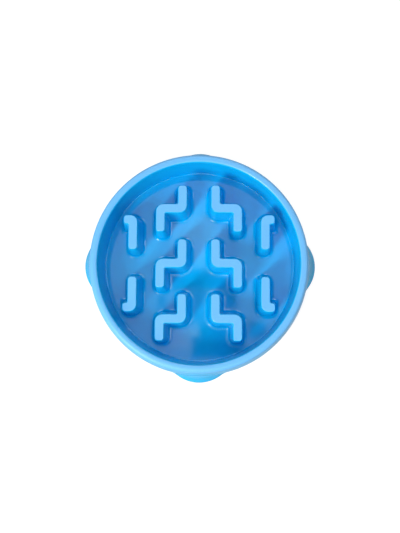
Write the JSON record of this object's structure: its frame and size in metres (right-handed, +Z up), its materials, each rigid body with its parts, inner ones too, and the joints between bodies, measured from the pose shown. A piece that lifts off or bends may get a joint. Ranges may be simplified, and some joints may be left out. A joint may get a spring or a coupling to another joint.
{
  "type": "slow feeder bowl",
  "caption": "Round blue pet bowl with a maze of raised ridges on its floor, a rounded rim, a flared skirt with foot lobes, and rubber feet.",
  "frame": {"origin": "on the table, under the middle of the bowl", "axes": "+Z up, -Y towards the picture's viewer, +X to the right"},
  "size_m": [0.2162, 0.2162, 0.045],
  "materials": {
    "bowl_plastic": "glossy injection-moulded plastic",
    "foot_rubber": "soft matte rubber"
  },
  "bodies": {
    "root": {"bowl": "bowl_plastic", "rubber_foot_front": "foot_rubber", "rubber_foot_right": "foot_rubber", "rubber_foot_back": "foot_rubber", "rubber_foot_left": "foot_rubber"}
  },
  "joints": []
}
